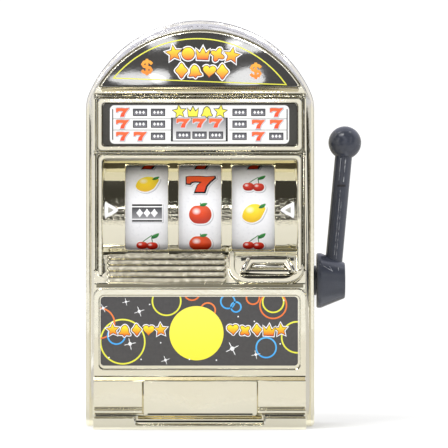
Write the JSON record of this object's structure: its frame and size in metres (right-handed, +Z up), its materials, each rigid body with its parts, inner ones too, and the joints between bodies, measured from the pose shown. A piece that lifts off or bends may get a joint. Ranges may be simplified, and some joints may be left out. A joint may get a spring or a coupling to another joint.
{
  "type": "pocket slot machine",
  "caption": "Pocket-sized toy slot machine: an arched plated case with a reel window, a belly panel and a hand lever that turns printed fruit reels.",
  "frame": {"origin": "on the flat underside of the case, midway across it, under the reel axle and lever shaft", "axes": "+Z up, +X to the viewer's right where the lever is, the reel window faces -Y"},
  "size_m": [0.0759, 0.0387, 0.1116],
  "materials": {
    "plated_case": "bright pale gold vacuum plating on moulded plastic",
    "marquee_print": "glossy printed film",
    "table_print": "glossy printed film",
    "belly_print": "glossy printed film",
    "reel_print": "coated white paper with printed fruit",
    "drum_plastic": "white moulded plastic",
    "chassis_plastic": "black moulded plastic",
    "gear_plastic": "natural nylon",
    "lever_plastic": "black moulded plastic, satin gloss",
    "screw_steel": "zinc-plated steel",
    "axle_steel": "drawn steel",
    "spring_steel": "spring steel"
  },
  "bodies": {
    "root": {"front_case": "plated_case", "rear_case": "plated_case", "marquee_label": "marquee_print", "paytable_label": "table_print", "belly_label": "belly_print", "reel_chassis": "chassis_plastic", "idler_pin": "axle_steel", "case_screws": "screw_steel", "chassis_screws": "screw_steel", "detent_screws": "screw_steel", "shaft_bush": "gear_plastic", "lever_return_spring": "spring_steel", "detent_spring_left": "spring_steel", "detent_spring_centre": "spring_steel", "detent_spring_right": "spring_steel"},
    "lever": {"lever_hub": "lever_plastic", "lever_arm": "lever_plastic", "lever_knob": "lever_plastic", "sector_gear": "gear_plastic", "sector_screw": "screw_steel"},
    "idler": {"idler_gear": "gear_plastic"},
    "axle": {"reel_axle": "axle_steel", "axle_clip": "spring_steel", "axle_pinion": "gear_plastic", "clutch_washers": "gear_plastic"},
    "reel_left": {"reel_drum_left": "drum_plastic", "reel_strip_left": "reel_print"},
    "reel_centre": {"reel_drum_centre": "drum_plastic", "reel_strip_centre": "reel_print"},
    "reel_right": {"reel_drum_right": "drum_plastic", "reel_strip_right": "reel_print"}
  },
  "joints": [
    {"name": "lever_pull", "type": "hinge", "parent": "root", "child": "lever", "pos_m": [0, 0, 0.04], "axis": [1, 0, 0], "range_deg": [0, 72], "stiffness_Nm_per_rad": 0.006, "springref_deg": -20.05, "deforming": ["lever_return_spring", "detent_spring_left", "detent_spring_centre", "detent_spring_right"]},
    {"name": "idler_spin", "type": "hinge", "parent": "root", "child": "idler", "pos_m": [0, 0.00734, 0.05239], "axis": [1, 0, 0], "range_deg": [-145, 1]},
    {"name": "axle_spin", "type": "hinge", "parent": "root", "child": "axle", "pos_m": [0, 0, 0.0586], "axis": [1, 0, 0], "range_deg": [-1, 145], "deforming": ["detent_spring_left", "detent_spring_centre", "detent_spring_right"]},
    {"name": "reel_left_spin", "type": "hinge", "parent": "axle", "child": "reel_left", "pos_m": [0, 0, 0.0586], "axis": [1, 0, 0], "continuous": true, "deforming": ["detent_spring_left"]},
    {"name": "reel_centre_spin", "type": "hinge", "parent": "axle", "child": "reel_centre", "pos_m": [0, 0, 0.0586], "axis": [1, 0, 0], "continuous": true, "deforming": ["detent_spring_centre"]},
    {"name": "reel_right_spin", "type": "hinge", "parent": "axle", "child": "reel_right", "pos_m": [0, 0, 0.0586], "axis": [1, 0, 0], "continuous": true, "deforming": ["detent_spring_right"]}
  ],
  "couplings": [
    {"joint": "idler_spin", "follows": "lever_pull", "ratio": -2},
    {"joint": "axle_spin", "follows": "lever_pull", "ratio": 2}
  ]
}
